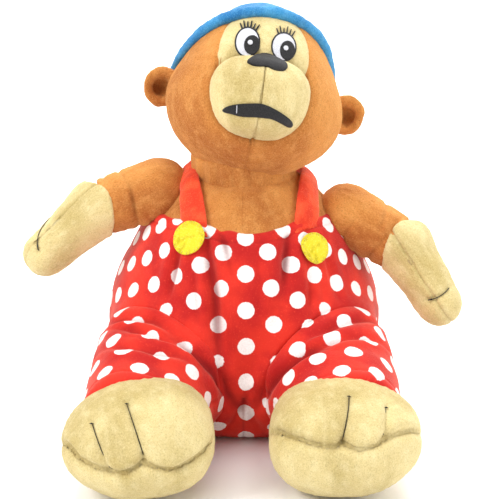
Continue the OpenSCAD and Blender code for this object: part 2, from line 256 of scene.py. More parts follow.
def outward(corners, faces):
    """The faces, turned where need be so that they look out of the solid."""
    a, b, c, d = (corners[faces[:, i]] for i in range(4))
    volume = (a * np.cross(b, c)).sum() + (a * np.cross(c, d)).sum()
    return faces if volume > 0 else faces[:, ::-1]


def new_object(name, corners, faces):
    mesh = bpy.data.meshes.new(name)
    mesh.from_pydata([tuple(c) for c in corners], [], [tuple(f) for f in faces])
    mesh.update()
    obj = bpy.data.objects.new(name, mesh)
    bpy.context.scene.collection.objects.link(obj)
    return obj


def set_values(mesh, name, values, kind="FLOAT"):
    attribute = mesh.attributes.new(name, kind, "POINT")
    attribute.data.foreach_set("vector" if kind == "FLOAT_VECTOR" else "value",
                               np.ascontiguousarray(values, np.float32).ravel())


def subdivide(obj):
    modifier = obj.modifiers.new("finer", "SUBSURF")
    modifier.levels = 1
    modifier.render_levels = 1
    bpy.context.view_layer.update()
    depsgraph = bpy.context.evaluated_depsgraph_get()
    mesh = bpy.data.meshes.new_from_object(obj.evaluated_get(depsgraph))
    obj.modifiers.clear()
    old = obj.data
    obj.data = mesh
    bpy.data.meshes.remove(old)


def finish_piece(obj, name, body, slot, inside=()):
    """Gives a piece its material, and ties it to its body when that is one name; given two bodies and the
    stretch between them, it only bakes the piece where it stands.
    It stands for the CAD node of its own name, if there is one, and for the nodes inside it."""
    obj.data.shade_smooth()
    obj.data.materials.clear()
    obj.data.materials.append(MATERIALS[slot])
    if isinstance(body, str):
        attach(obj, body)
    else:
        a, b, start, end = body
        tuple(np.array(start) * MM)
        tuple(np.array(end) * MM)
        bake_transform(obj)
    if name in frame["nodes"]:
        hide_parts(name, *inside)


def sculpt(name, body, slot, field, low, high, step=2.4, place=WORLD, detail=None, nap=0.25, dots=None,
           fill=None, inside=()):
    """A piece from a field: meshed, subdivided once, laid on the field, and given its detail.
    detail(points) gives heights in millimetres, how creased each place is, from 0 to 1, which the materials
    darken as painted shade, and perhaps a tone that is above 0 where the pile is painted lighter and below 0
    where it is painted darker."""
    corners, faces = polygonize(field, low, high, step)
    obj = new_object(name, corners, outward(corners, faces))
    subdivide(obj)
    points = np.zeros(len(obj.data.vertices) * 3)
    obj.data.vertices.foreach_get("co", points)
    p, normal = settle(field, points.reshape(-1, 3), 3)
    height, crease, *tone = detail(p) if detail else (np.zeros(len(p)), np.zeros(len(p)))
    if nap:
        height = height + nap * (0.6 * noise(p, 3.1, 1) + 0.7 * noise(p, 1.7, 2))
    turn, origin = place
    points = ((p + normal * height[:, None]) @ turn.T + origin) * MM
    obj.data.vertices.foreach_set("co", points.ravel())
    obj.data.update()
    set_values(obj.data, "rest", p, "FLOAT_VECTOR")
    # The crease attribute carries painted shade, and the tone attribute carries painted light and shade, to
    # the materials.
    set_values(obj.data, "crease", np.clip(crease, 0, 1))
    if tone:
        set_values(obj.data, "tone", tone[0])
    if dots is not None:
        set_values(obj.data, "dot", nearest(p, dots))
    finish_piece(obj, name, body, slot, inside)


def nearest(p, places):
    """How far each point is from the nearest of the places."""
    tree = KDTree(len(places))
    for i, at in enumerate(places):
        tree.insert(Vector(at), i)
    tree.balance()
    return np.array([tree.find(Vector(q))[2] for q in p])


def tube(points, r):
    """Corners and faces of a thread that runs through the points, with tapered ends."""
    sides = 6
    points = np.array(points, float)
    n = len(points)
    way = unit(np.gradient(points, axis=0))
    x = unit(np.cross([0.13, 0.21, 0.97], way))
    y = np.cross(way, x)
    t = np.linspace(0, 1, n)
    taper = np.clip(np.minimum(t, 1 - t) * n / 1.5 + 0.25, 0, 1)
    angle = 2 * np.pi * np.arange(sides) / sides
    ring = np.cos(angle)[None, :, None] * x[:, None] + np.sin(angle)[None, :, None] * y[:, None]
    corners = (points[:, None] + ring * (r * taper)[:, None, None]).reshape(-1, 3)
    faces = []
    for i in range(0, (n - 1) * sides, sides):
        for k in range(sides):
            m = (k + 1) % sides
            faces.append((i + k, i + m, i + sides + m, i + sides + k))
    faces.append(tuple(range(sides))[::-1])
    faces.append(tuple((n - 1) * sides + k for k in range(sides)))
    return corners, faces


def threads(name, body, slot, lines, place=WORLD):
    """One piece made of many threads; lines is a list of (points, radius)."""
    corners, faces = [], []
    for points, r in lines:
        c, f = tube(points, r)
        start = sum(len(part) for part in corners)
        corners.append(c)
        faces += [tuple(start + i for i in face) for face in f]
    p = np.vstack(corners)
    turn, origin = place
    obj = new_object(name, (p @ turn.T + origin) * MM, faces)
    set_values(obj.data, "rest", p, "FLOAT_VECTOR")
    finish_piece(obj, name, body, slot)


# ---------- materials ----------

DOT_R = 5.7


def rgb(r, g, b):
    """Display values from 0 to 255 as the linear colour that a shader wants."""
    display = (r / 255, g / 255, b / 255)
    return (*(v / 12.92 if v <= 0.04045 else ((v + 0.055) / 1.055) ** 2.4 for v in display), 1)


class Cloth:
    """A material in the making: its nodes, on coordinates that are the piece's own millimetres."""

    def __init__(self, name, roughness, sheen, sheen_colour, sheen_roughness, specular):
        self.material = bpy.data.materials.new(name)
        self.material.use_nodes = True
        self.tree = self.material.node_tree
        self.shader = self.tree.nodes["Principled BSDF"]
        for socket, value in {"Roughness": roughness, "Sheen Weight": sheen, "Sheen Tint": sheen_colour,
                              "Sheen Roughness": sheen_roughness, "Specular IOR Level": specular}.items():
            self.shader.inputs[socket].default_value = value
        self.rest = self.add("Attribute", {}, attribute_name="rest").outputs["Vector"]

    def add(self, kind, inputs, **settings):
        node = self.tree.nodes.new("ShaderNode" + kind)
        for name, value in settings.items():
            setattr(node, name, value)
        for socket, value in inputs.items():
            if isinstance(value, bpy.types.NodeSocket):
                self.tree.links.new(value, node.inputs[socket])
            else:
                node.inputs[socket].default_value = value
        return node

    def attribute(self, name):
        return self.add("Attribute", {}, attribute_name=name).outputs["Fac"]

    def lumps(self, size, detail=2.0, stretch=None, rough=0.5):
        """Noise with lumps of that size in millimetres."""
        at = self.rest
        if stretch:
            at = self.add("Mapping", {"Vector": at, "Scale": stretch}).outputs["Vector"]
        return self.add("TexNoise", {"Vector": at, "Scale": 1 / size, "Detail": detail,
                                     "Roughness": rough}).outputs["Fac"]

    def rows(self, direction, **settings):
        """Even rows, as of knitting or of thread."""
        inputs = {name.replace("_", " "): value for name, value in settings.items()}
        return self.add("TexWave", {"Vector": self.rest, **inputs}, bands_direction=direction).outputs["Fac"]

    def span(self, value, low, high, most=1.0):
        """0 where the value is low, and the most where it is high."""
        return self.add("MapRange", {"Value": value, "From Min": low, "From Max": high, "To Min": 0.0,
                                     "To Max": most}, interpolation_type="SMOOTHSTEP").outputs["Result"]

    def combine(self, a, b, kind="ADD"):
        return self.add("Math", {0: a, 1: b}, operation=kind).outputs[0]

    def mix(self, factor, a, b):
        return self.add("Mix", {0: factor, 6: a, 7: b}, data_type="RGBA").outputs[2]

    def turned(self, colour, other, value, low, high, most=1.0):
        """The colour, turned into the other one where the value is high."""
        return self.mix(self.span(value, low, high, most), colour, other)

    # Painted shade: the colour turns towards the dark one where the crease attribute marks folds, seams and
    # hollows.
    def creased(self, colour, dark, most, start=0.1):
        return self.turned(colour, dark, self.attribute("crease"), start, 1.0, most)

    def finish(self, colour, height, strength, distance):
        """The material, with its colour and its fine relief joined to the shader."""
        self.tree.links.new(colour, self.shader.inputs["Base Color"])
        node = self.add("Bump", {"Height": height, "Strength": strength, "Distance": distance * MM})
        self.tree.links.new(node.outputs["Normal"], self.shader.inputs["Normal"])
        return self.material


def plush(name, light, middle, dark, deep, sheen_colour, patch, sheen):
    """Short pile: nap patches that catch the light differently, with the painted light and shade of the tone
    added, clumps, single fibres, and painted shade in creases.
    """
    m = Cloth(name, 0.92, sheen, sheen_colour, 0.45, 0.15)
    # Random nap patches plus the tone attribute, which is painted light and shade.
    nap_and_shade = m.combine(m.lumps(patch, 3, (1, 1, 0.6)), m.attribute("tone"))
    fibre = m.lumps(0.75, 4, (1, 1, 0.7), 0.7)
    colour = m.turned(dark, middle, nap_and_shade, 0.32, 0.66)
    colour = m.turned(colour, light, m.lumps(6.5, 3, (1, 1, 0.6), 0.55), 0.40, 0.80, 0.35)
    colour = m.turned(colour, deep, fibre, 0.50, 0.30, 0.45)
    colour = m.turned(colour, light, fibre, 0.50, 0.74, 0.50)
    height = m.combine(m.lumps(0.8, 4, (1, 1, 0.7), 0.7), m.lumps(2.6, 2))
    # Painted shade in the creases, in the deep colour.
    return m.finish(m.creased(colour, deep, 0.75), height, 0.85, 0.9)


def dotted(name):
    """Brushed knit printed with white dots."""
    m = Cloth(name, 0.8, 0.35, rgb(255, 190, 170), 0.4, 0.25)
    speck = m.lumps(1.1, 3, None, 0.65)
    red = m.turned(rgb(178, 22, 20), rgb(212, 44, 28), m.lumps(26, 3), 0.34, 0.66)
    red = m.turned(red, rgb(236, 76, 50), speck, 0.56, 0.75, 0.5)
    white = m.turned(rgb(232, 226, 224), rgb(244, 240, 238), speck, 0.35, 0.62)
    edge = m.combine(m.attribute("dot"), m.combine(m.lumps(1.3, 2), 0.9, "MULTIPLY"))
    colour = m.turned(white, red, edge, DOT_R + 0.15, DOT_R + 0.65)
    knit = m.rows("X", Scale=0.42, Distortion=1.2, Detail=2.0)
    height = m.combine(m.lumps(0.7, 3), m.combine(knit, 0.35, "MULTIPLY"))
    # Painted shade: the print darkens to a deep red where the crease attribute marks folds, hems and seams.
    return m.finish(m.creased(colour, rgb(124, 8, 12), 0.75, 0.05), height, 0.5, 0.5)


def velour(name, light, middle, dark, sheen_colour):
    """A close, even pile."""
    m = Cloth(name, 0.85, 0.6, sheen_colour, 0.35, 0.2)
    speck = m.lumps(0.8, 3, None, 0.7)
    colour = m.turned(dark, middle, m.lumps(12, 3), 0.36, 0.64)
    colour = m.turned(colour, light, speck, 0.54, 0.72, 0.6)
    # Painted shade in the creases, in the dark colour.
    return m.finish(m.creased(colour, dark, 0.7), m.combine(speck, m.lumps(2.5, 2)), 0.6, 0.6)


def felt(name, light, middle, dark):
    """Pressed fibres that run every way."""
    m = Cloth(name, 0.95, 0.4, rgb(255, 250, 170), 0.5, 0.1)
    a, b, c = (m.lumps(0.9, 3, stretch, 0.7) for stretch in ((0.25, 1, 1), (1, 1, 0.25), (0.6, 0.6, 1)))
    fibre = m.combine(m.combine(a, b, "MAXIMUM"), c, "MAXIMUM")
    colour = m.turned(dark, middle, m.lumps(5.0, 3), 0.25, 0.55)
    colour = m.turned(colour, light, fibre, 0.56, 0.70, 0.8)
    # Painted shade in the creases, in the dark colour.
    return m.finish(m.creased(colour, dark, 0.6), fibre, 0.5, 0.35)


def satin_thread(name, light, dark, direction):
    """Rows of embroidery thread laid side by side."""
    m = Cloth(name, 0.5, 0.08, light, 0.3, 0.35)
    rows = m.rows(direction, Scale=0.55, Distortion=1.5, Detail=1.0, Detail_Scale=0.4)
    fuzz = m.lumps(0.7, 3)
    # Painted shade and highlight: each row runs from the dark colour between the threads to the light colour
    # along them.
    colour = m.mix(m.combine(rows, m.span(fuzz, 0.35, 0.7), "MULTIPLY"), dark, light)
    return m.finish(colour, m.combine(rows, m.combine(fuzz, 0.5, "MULTIPLY")), 0.7, 0.35)


LOOKS = {
    "brown_plush": (plush, rgb(232, 172, 100), rgb(208, 138, 70), rgb(168, 96, 44), rgb(108, 54, 20),
                    rgb(255, 206, 140), 40, 0.4),
    "beige_plush": (plush, rgb(238, 226, 178), rgb(220, 200, 142), rgb(190, 168, 108), rgb(138, 116, 62),
                    rgb(255, 246, 214), 30, 0.35),
    "blue_plush": (plush, rgb(112, 184, 222), rgb(62, 144, 196), rgb(42, 114, 172), rgb(18, 60, 112),
                   rgb(190, 226, 255), 30, 0.4),
    "dotted_fabric": (dotted,),
    "strap_fabric": (velour, rgb(250, 124, 84), rgb(238, 82, 46), rgb(212, 56, 32), rgb(255, 190, 160)),
    "yellow_felt": (felt, rgb(238, 224, 92), rgb(216, 198, 44), rgb(176, 158, 24)),
    "seam_thread": (satin_thread, rgb(246, 236, 130), rgb(190, 170, 40), "X"),
    "black_thread": (satin_thread, rgb(52, 49, 51), rgb(12, 11, 12), "X"),
    "white_thread": (satin_thread, rgb(246, 246, 248), rgb(196, 196, 204), "Z"),
}
MATERIALS = {name: make(name, *colours) for name, (make, *colours) in LOOKS.items()}


# ---------- torso and dungarees ----------

SEAT_R = 75
LOWER = bezier([(SEAT_R, 0), (BELLY_R - 6, 3), (BELLY_R, 24), (BELLY_R, 48)], 16)
UPPER = bezier([(BELLY_R, 48), (BELLY_R, 84), (79, 134), (41, 167)], 24)
TORSO_OUTLINE = np.vstack([[(0, 0)], LOWER, UPPER[1:], [(30, 172), (16, 175), (0, 176)]])
TABLE_LOW = np.array([0.0, -60.0])
TABLE_R, TABLE_Z = np.meshgrid(np.arange(0, 200), np.arange(-60, 240), indexing="ij")
TORSO_TABLE = polygon_distance(TABLE_R + 1e-4, TABLE_Z + 1e-4, TORSO_OUTLINE)


def torso(p):
    """Distance to the turned torso, looked up by radius and height."""
    q = np.stack([radius(p), p[:, 2]], -1) - TABLE_LOW
    q = np.clip(q, 0, np.array(TORSO_TABLE.shape) - 1.001)
    i, j = q.astype(int).T
    f, g = q[:, 0] - i, q[:, 1] - j
    a, b = (TORSO_TABLE[i, j + k] * (1 - f) + TORSO_TABLE[i + 1, j + k] * f for k in (0, 1))
    return a * (1 - g) + b * g


FILLET = 22
ANKLE_SETBACK = 14
LEG_END = {s: FOOT[s] - ANKLE_SETBACK * unit(FOOT[s] - HIP[s]) for s in SIDES}


def leg(p, side):
    return cone(p, HIP[side], LEG_END[side], THIGH_R, ANKLE_R)


def clothed(p):
    """The whole of the stuffed dungarees: torso and both legs, run together."""
    whole = join(torso(p), leg(p, "left"), FILLET)
    whole = join(whole, leg(p, "right"), FILLET)
    return meet(whole, FLOOR_GAP - p[:, 2], 3)


def owned_by_leg(p):
    """Below zero where the nearer surface is a leg's."""
    return np.minimum(leg(p, "left"), leg(p, "right")) - torso(p)


def top_of_dungarees(p):
    """Height of the top hem: level at the front, lower behind, and drawn up a little by each strap."""
    x, y, _ = p.T
    front = ease((-y - 20) / 30)
    drawn = 3.2 * (bump(x - 43, 12) + bump(x + 35, 12)) * front
    return 142.5 - 3 * np.tanh(y / 25) + drawn - 1.5 * bump(x - 4, 25) * front


def dungarees_field(front):
    way = 1 if front else -1

    def field(p):
        _, y, z = p.T
        body = meet(clothed(p), torso(p) - 4, 2) + 1.8 * ease((1.5 - owned_by_leg(p)) / 4)
        body = body - 0.9 * ease((z - 118) / 20)
        body = meet(body, z - top_of_dungarees(p), 1.6)
        half = meet(body, way * y + 0.05, 0.7)
        return np.minimum(half, meet(body + 1.0, np.abs(y) - 5, 1)) if front else half
    return field


def dungarees_detail(p):
    x, y, z = p.T
    hem = bump(z - top_of_dungarees(p) + 5, 0.9) * (z > 120)
    seam = bump(x, 1.3) * (((y < 0) & (z < 40)) | (y > 0))
    side = bump(y, 2.0)
    height, crease = folds(p, FOLDS)
    height = height - 0.7 * hem - 0.6 * seam - 0.5 * side + 0.5 * noise(p, 19, 5) + fullness(p)
    # The crease is painted shade along the folds, the hem, the middle seam and the side seams.
    return height, crease + 0.4 * hem + 0.5 * seam + 0.5 * side


def folds(p, lines):
    """Valleys with a soft ridge beside them, along lines through the fabric, that fade at their ends."""
    height, crease = np.zeros(len(p)), np.zeros(len(p))
    for path, width, depth, ridge in lines:
        path = np.array(path, float)
        near = np.linalg.norm(p - path.mean(0), axis=-1) < np.ptp(path, 0).max() + 6 * width
        d, t = path_distance(p[near], path)
        fade = np.sin(np.pi * np.clip(0.06 + 0.88 * t, 0, 1)) ** 0.6
        height[near] += fade * (ridge * bump(d - 2.3 * width, 1.3 * width) - depth * bump(d, width))
        # The crease is painted shade in each valley.
        crease[near] += fade * bump(d, 0.8 * width) * min(1, depth / 4)
    return height, crease


# Each fold is a path through points, its half-width, its depth and the height of the ridge beside it.
FOLDS = [
    ([(-25, -62, 142), (-21, -73, 119), (-19, -79, 106), (-16, -90, 72), (-12, -94, 52)], 4.4, 5.0, 1.9),
    ([(-17, -59, 148), (-12, -66, 137), (-7, -75, 118)], 3.2, 3.2, 1.6),
    ([(-42, -53, 142), (-46, -60, 124), (-50, -67, 102)], 3.2, 3.4, 1.4),
    ([(31, -57, 144), (28, -68, 126), (25, -76, 100)], 3.8, 4.2, 1.6),
    ([(55, -47, 136), (59, -54, 118), (64, -60, 98)], 3.0, 2.2, 1.0),
    ([(-52, -104, 74), (-38, -106, 68), (-26, -104, 54), (-14, -98, 34)], 2.2, 1.8, 1.0),
    ([(52, -114, 74), (38, -112, 68), (27, -106, 52), (18, -98, 34)], 2.2, 1.8, 1.0),
    ([(9, -70, 134), (11, -78, 116), (10, -86, 96)], 2.6, 1.0, 0.6),
    ([(-33, -66, 126), (-32, -76, 108), (-30, -84, 88)], 2.4, 1.8, 0.9),
    ([(44, -62, 124), (45, -70, 106), (44, -78, 88)], 2.4, 1.6, 0.8),
    ([(-50, -94, 83), (-34, -100, 76), (-23, -101, 65), (-15, -99, 52), (-3, -92, 30)], 4.2, 4.2, 1.7),
    ([(-95, -84, 62), (-76, -108, 79), (-57, -114, 81), (-42, -111, 77), (-27, -108, 62)], 3.2, 2.4, 1.6),
    ([(-96, -40, 56), (-82, -66, 80), (-60, -80, 89), (-38, -95, 80)], 3.2, 3.0, 1.5),
    ([(-92, -62, 70), (-72, -88, 83), (-55, -97, 84), (-40, -104, 77)], 2.6, 2.2, 1.2),
    ([(56, -108, 81), (44, -107, 79), (30, -108, 69), (19, -103, 54), (9, -94, 32)], 4.2, 4.2, 1.7),
    ([(93, -80, 66), (78, -92, 79), (60, -101, 83), (44, -104, 79), (33, -106, 68)], 3.0, 2.6, 1.5),
    ([(92, -50, 70), (78, -70, 83), (58, -86, 86), (38, -98, 78)], 3.0, 2.6, 1.4),
    ([(94, -100, 50), (80, -115, 66), (62, -121, 72)], 2.6, 1.4, 1.0),
    ([(-92, -100, 48), (-80, -117, 66), (-62, -124, 70)], 2.6, 1.4, 1.0),
    ([(-12, -87, 10), (-2, -93, 30), (4, -94, 44)], 2.4, 1.6, 0.5),
    ([(14, -82, 6), (6, -91, 24), (0, -94, 40)], 2.4, 1.4, 0.5),
]

DOT_COLUMN = 18.5
DOT_REPEAT = 24
LEG_DOTS_ROUND = 11
LEG_DOT_ROW = 19


def torso_dots():
    """Centres of the dots on the torso: staggered columns round it, evenly spaced up each column."""
    outline = TORSO_OUTLINE[1:-2]
    run = np.concatenate([[0], np.cumsum(np.linalg.norm(np.diff(outline, axis=0), axis=1))])
    columns = round(2 * math.pi * BELLY_R * 0.93 / DOT_COLUMN / 2) * 2
    places = []
    for c in range(columns):
        angle = 2 * math.pi * c / columns - math.pi / 2 + 0.02
        for k in range(int(run[-1] / DOT_REPEAT) + 1):
            s = (k + (0.4 - 0.42 * min(c, columns - c)) % 1) * DOT_REPEAT
            r, z = (np.interp(s, run, outline[:, i]) for i in (0, 1))
            places.append((r * math.cos(angle), r * math.sin(angle), z))
    return np.array(places)


def leg_dots(side):
    """Centres of the dots on a leg: rings down it, each turned half a dot from the last."""
    turn = along(LEG_END[side] - HIP[side])
    places = []
    for k in range(-2, 6):
        r = THIGH_R - (THIGH_R - ANKLE_R) * k * LEG_DOT_ROW / 70
        for c in range(LEG_DOTS_ROUND):
            angle = 2 * math.pi * (c + 0.45 * (k % 2)) / LEG_DOTS_ROUND + 0.2
            places.append(HIP[side] + turn @ [r * math.cos(angle), r * math.sin(angle), LEG_DOT_ROW * k + 6])
    return np.array(places)


def all_dots():
    """The dots of the torso and of both legs, each where its own part is on the outside."""
    places = torso_dots()
    kept = [places[owned_by_leg(places) > 1]]
    for side in SIDES:
        places = leg_dots(side)
        places = places[owned_by_leg(places) <= 1]
        kept.append(places[nearest(places, kept[0]) > 2 * DOT_R + 3])
    return np.vstack(kept)


DOTS = all_dots()


def fullness(p):
    """How far the stuffing pushes the fabric out at the hips."""
    x, _, z = p.T
    return 5.0 * bump(z - 74, 34) * ease((np.abs(x) - 50) / 36) * (z > 0)


def build_torso():
    low, high = (-BELLY_R - 8, -BELLY_R - 6, -3), (BELLY_R + 8, BELLY_R + 8, 156)
    cloth = {"detail": dungarees_detail, "nap": 0.08, "dots": DOTS, "fill": 0.8}
    sculpt("dungarees_front", "torso", "dotted_fabric", dungarees_field(True), low, (high[0], 4, high[2]),
           inside=["torso_stuffing"], **cloth)
    sculpt("dungarees_back", "torso", "dotted_fabric", dungarees_field(False), (low[0], -4, low[2]), high,
           **cloth)
    sculpt("seat_panel", "torso", "dotted_fabric",
           lambda p: meet(np.abs(p[:, 2] - 1.7) - 1.5, radius(p) - SEAT_R + 1.5, 1.4),
           (-78, -78, -2), (78, 78, 6), 2.0, nap=0.0, dots=torso_dots())


def chest_field(region, backed):
    """A panel of the chest: it sinks under the hem, and the backed one lies a little under the others too."""
    def field(p):
        under = ease((top_of_dungarees(p) - 1 - p[:, 2]) / 5)
        body = meet(torso(p) + 1.2 + 4.5 * under, 128 - p[:, 2], 2)
        part = meet(body, region(*p.T[:2]), 0.6)
        return np.minimum(part, body + 0.25) if backed else part
    return field


def chest_detail(p):
    x, y, z = p.T
    front = y < 0
    middle = bump(x, 1.2) * front
    side = bump(y, 1.6)
    above_bib = bump(z - top_of_dungarees(p) - 7, 1.3) * (y < -20) * bump(x, 45)
    pulled = bump(x - 3, 9) * front
    under_head = ease((z - 150) / 10) * ease((y + 4) / 8)
    height = 0.7 * noise(p, 13, 9) - 0.35 * middle - 0.6 * side + 0.5 * pulled - 0.5 * above_bib
    crease = 0.12 * middle + 0.3 * side + 0.15 * above_bib
    # Painted shade: the crease darkens the middle and side seams and the edge above the bib, and the tone is
    # a painted shadow of the head, darkest round 150 mm up.
    return height - 1.6 * under_head, crease, 0.05 - 0.1 * bump(z - 150, 9)


def build_chest():
    regions = {
        "chest_left_panel": lambda x, y: meet(0.05 - x, y + 0.05, 1),
        "chest_right_panel": lambda x, y: meet(0.05 + x, y + 0.05, 1),
        "back_panel": lambda x, y: 0.05 - y,
    }
    for name, region in regions.items():
        sculpt(name, "torso", "brown_plush", chest_field(region, "left" in name), (-82, -82, 124),
               (82, 82, 182), 2.2, detail=chest_detail, fill=0.8)


# ---------- straps and buttons ----------

STRAP_X = {"left": 40, "right": 31}
STRAP_OUT = {"left": 5.5, "right": 7}
STRAP_BACK_Y = 66


def across_strap(p, side):
    """How far each point is from the strap's middle line, along X."""
    lean = np.cos(np.pi / 2 * p[:, 1] / STRAP_BACK_Y)
    return p[:, 0] - SIDES[side] * (STRAP_X[side] + STRAP_OUT[side] * lean)


def strap_field(p, side):
    """A soft band that lies on the torso and tucks under the hem at both ends."""
    _, y, z = p.T
    over_hem = z - top_of_dungarees(p)
    lift = 1.5 - 2.9 * ease((6 - over_hem) / 9) - 1.0 * ease((y + 20) / 20)
    across = across_strap(p, side)
    half = 6.3 + 2.2 * ease((-y - 5) / 55)
    thickness = np.abs(torso(p) - lift) - 1.5 - 1.6 * np.clip(1 - (across / half) ** 2, 0, 1)
    return meet(meet(thickness, np.abs(across) - half, 1.9), -6 - over_hem, 1.2)


def strap_detail(p, side):
    across = across_strap(p, side)
    pull = ease((-p[:, 1] - 35) / 25)
    ridges = 0.45 * np.sin(across * 0.9 + 0.7 + noise(p, 9, 22)) * pull
    # The crease is painted shade beside the ridges of the pulled strap.
    return 0.45 * noise(p, 8, 21) + ridges, 0.3 * bump(across - 2, 1.2) * pull


BUTTON_R = {"left": 10.6, "right": 11.8}
BUTTON_FOLD = {"left": 0.8, "right": 0.15}
BUTTON_SHIFT = {"left": 0, "right": 2.5}
BUTTON_STITCHES = 22


def button_place(side):
    """The button's own plane, on the front of the torso over the CAD button's middle."""
    low, high = (np.array(c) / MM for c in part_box(side + "_button"))
    middle = (low + high) / 2
    x = middle[0] + BUTTON_SHIFT[side]
    at = np.array([[x, -math.sqrt(70 ** 2 - x * x), middle[2] - 1]])
    for _ in range(20):
        at[:, 1] += torso(at) * 0.8
    normal = unit(gradient(torso, at)[1])[0]
    return along(normal), at[0] + 2.8 * normal


def button_shape(x, y, side):
    """Height of the felt above the button's own plane: a little dished, and creased on one side."""
    amount = BUTTON_FOLD[side]
    d = x * 0.92 + y * 0.38 + 5
    fold = 0.16 * np.sqrt(d * d + 2) - 0.8 * bump(d, 2.0)
    return 0.008 * (x * x + y * y) * (0.5 - amount) + amount * fold


def button_field(p, side):
    x, y, z = p.T
    r = BUTTON_R[side] * (1 + 0.014 * np.sin(3 * bearing(p) + 1) + 0.008 * np.sin(7 * bearing(p)))
    return meet(np.abs(z - button_shape(x, y, side)) - 0.75, radius(p) - r, 0.7)


def button_stitches(side):
    """Short threads over the button's rim, all the way round."""
    lines = []
    for i in range(BUTTON_STITCHES):
        a = 2 * math.pi * (i + 0.3 * (i % 2)) / BUTTON_STITCHES
        stitch = []
        for t in np.linspace(-1.0, 1.0, 5):
            r = BUTTON_R[side] - 1.1 - 1.3 * t
            lift = 0.95 - 0.5 * t * t - (0.9 if t < -0.9 else 0)
            x, y = r * math.cos(a), r * math.sin(a)
            stitch.append((x, y, button_shape(x, y, side) + lift))
        lines.append((stitch, 0.28))
    return lines


def build_straps():
    for side, s in SIDES.items():
        x = s * (STRAP_X[side] + 3)
        place = button_place(side)
        sculpt(side + "_strap", "torso", "strap_fabric", lambda p: strap_field(p, side), (x - 15, -86, 128),
               (x + 15, 80, 180), 1.3, detail=lambda p: strap_detail(p, side), nap=0.12, fill=0.3)
        sculpt(side + "_button", "torso", "yellow_felt", lambda p: button_field(p, side), (-13, -13, -4),
               (13, 13, 6), 0.6, place, nap=0.1)
        threads(side + "_button_stitches", "torso", "seam_thread", button_stitches(side), place)


# ---------- neck and head ----------

def neck_field(p):
    q = p - NECK
    side = meet(radius(q) - 36 - 0.004 * q[:, 2] ** 2, q[:, 2] - 17, 6)
    return meet(side, -12 - q[:, 2], 6)


def neck_detail(p):
    gathers = np.sin(19 * bearing(p) + 2 * noise(p, 20, 3))
    # The crease is painted shade in the valleys of the gathers.
    return 0.6 * gathers, 0.3 * np.clip(-gathers, 0, 1)


def build_neck():
    sculpt("neck_fabric", "neck", "brown_plush", neck_field, NECK - 42, NECK + 42, 2.4, detail=neck_detail,
           fill=0.7, inside=["neck_stuffing"])


MUZZLE_AT = np.array([0, -44, -3.6])
BACK_ANGLE = math.radians(30)
HEAD_SPAN = ((-62.0, -62.0, -62.0), (62.0, 62.0, 62.0))
FACE_FOLDS = [([(-30, -47, 17), (-40, -40, 17), (-49, -31, 14)], 1.8, 0.9, 0.6)]


def as_ball(p):
    """Head points as they would be if the head were a ball: it is full in the cheeks and narrower above."""
    x, y, z = p.T
    lean = np.tanh((z - 3) / 24)
    cheek = ease((10 - y) / 30) * ease((z + 56) / 24)
    return np.stack([x / (1.005 - 0.14 * np.where(lean < 0, lean * cheek, lean)), y, z], -1)


def head_ball(p):
    return (np.linalg.norm(as_ball(p), axis=-1) - HEAD_R) * 0.92


def muzzle(p):
    """A soft block, a little wider above than below."""
    x, y, z = (p - MUZZLE_AT).T
    q = np.stack([x / (33.5 * (1 + 0.05 * np.clip(z / 27, -1, 1))), y / 30, z / 28.2], -1)
    return ((np.abs(q) ** 2.4).sum(-1) ** (1 / 2.4) - 1) * 27


def mask_edge(p):
    """Below zero inside the mask's outline, as seen from in front."""
    q = np.abs(np.stack([(p[:, 0] + 1) / 30.5, (p[:, 2] - 22) / 31.8], -1))
    return ((q ** 2.6).sum(-1) ** (1 / 2.6) - 1) * 30


def head_back_region(p):
    """Below zero behind the two seams that run from the top of the head to the neck."""
    return (np.abs(p[:, 0]) * math.tan(BACK_ANGLE) - p[:, 1]) * math.cos(BACK_ANGLE) + 0.05


def head_side_region(p, s):
    """Below zero in front of those seams, on one side, and outside the mask."""
    sides = meet(0.05 - s * p[:, 0], 0.1 - head_back_region(p), 1)
    return meet(sides, np.where(p[:, 1] < 0, -mask_edge(p) - 4, -30), 0.7)


def head_detail(p):
    x, y, z = p.T
    front = y < 0
    around_mask = bump(mask_edge(p), 1.5) * front
    middle = bump(x, 1.2) * ((z < 0) | ~front)
    back_seams = bump(head_back_region(p), 1.4) * ~front
    height, crease = folds(p, FACE_FOLDS)
    height += 0.9 * noise(p, 24, 31) - 1.6 * bump(muzzle(p), 2.6)
    height -= 0.6 * around_mask + 0.2 * middle + 0.6 * back_seams
    crease += 0.6 * bump(muzzle(p), 1.8) + 0.2 * around_mask + 0.05 * middle + 0.3 * back_seams
    # Painted light and shade: the tone is lighter on the left of the head and high on the right cheek, and
    # darker low on the right cheek and under the chin; the crease is painted shade round the muzzle and the
    # mask, along the seams and in the face fold.
    tone = 0.05 + 0.1 * ease((x - 15) / 30) - 0.16 * spot(p, (-42, -32, -22), 20)
    tone += 0.08 * spot(p, (-45, -30, 25), 22) - 0.15 * spot(p, (-20, -38, -45), 20)
    return height, crease, tone


def muzzle_detail(p):
    middle = bump(p[:, 0], 0.9)
    rim = bump(head_ball(p), 2.2)
    dimple = spot(p, (0, -72, -8), 7)
    # The tone is darker just below the nose on the right and low on the left; the crease is painted shade
    # along the middle seam and where the muzzle meets the head.
    tone = 0.06 - 0.1 * spot(p, (-12, -70, 8), 16) - 0.06 * spot(p, (24, -62, -22), 14)
    crease = bump(p[:, 0], 0.5) * (0.3 + 0.7 * (p[:, 2] > -9)) + 0.4 * bump(head_ball(p), 1.5)
    return 0.6 * noise(p, 15, 41) - 0.6 * middle - 1.2 * rim - 0.7 * dimple, crease, tone


